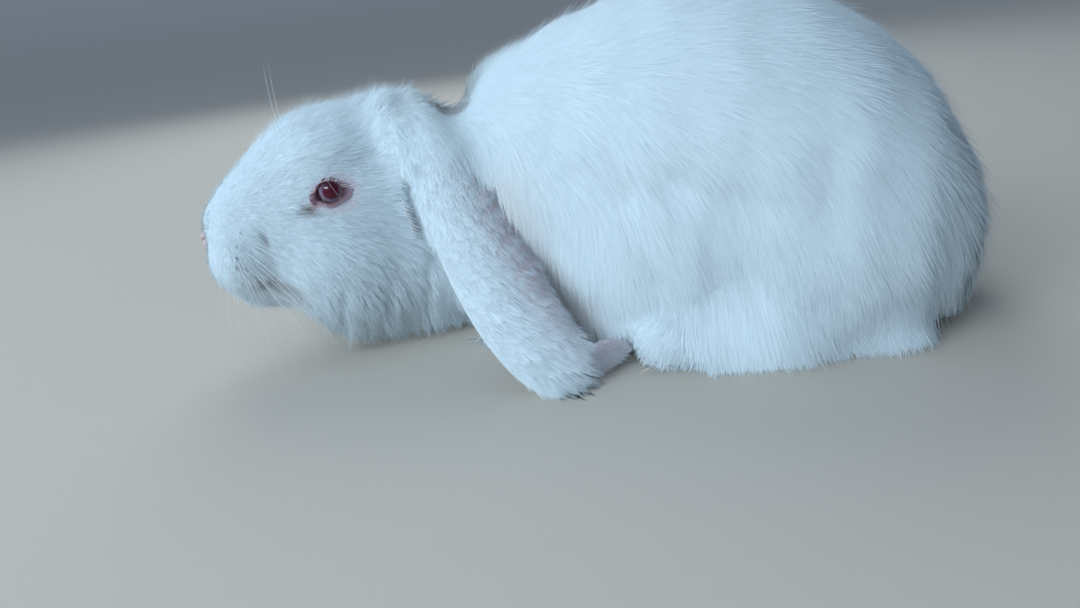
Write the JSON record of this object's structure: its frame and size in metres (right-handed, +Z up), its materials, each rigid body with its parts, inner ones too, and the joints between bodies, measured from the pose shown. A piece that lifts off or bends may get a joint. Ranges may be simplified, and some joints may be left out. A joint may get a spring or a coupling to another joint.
{
  "type": "lop rabbit",
  "caption": "White lop-eared rabbit crouched on the floor, its head low and turned to its left, with drooping ears and red eyes; a still life-size model.",
  "frame": {"origin": "middle of the bounding box's underside, on the floor", "axes": "+X towards the tail, so the rabbit faces -X; +Y towards the rabbit's right; +Z up"},
  "size_m": [0.4062, 0.2166, 0.1704],
  "materials": {
    "white_coat": "soft dense white fur, smooth and short on the face and feet, long and flowing on the body",
    "ear_coat": "very short white fur with the pink skin showing through",
    "eye": "wet and glossy, ruby red, as in an albino",
    "bare_skin": "soft pink skin of the eyelids, nose and lips",
    "horn": "pale translucent claws"
  },
  "bodies": {
    "root": {"trunk": "white_coat", "neck": "white_coat", "tail": "white_coat", "hind_leg_left": "white_coat", "hind_leg_right": "white_coat", "hind_foot_left": "white_coat", "hind_foot_right": "white_coat", "foreleg_left": "white_coat", "foreleg_right": "white_coat", "head": "white_coat", "ear_left": "ear_coat", "ear_right": "ear_coat", "eye_left": "eye", "eye_right": "eye"}
  },
  "joints": []
}
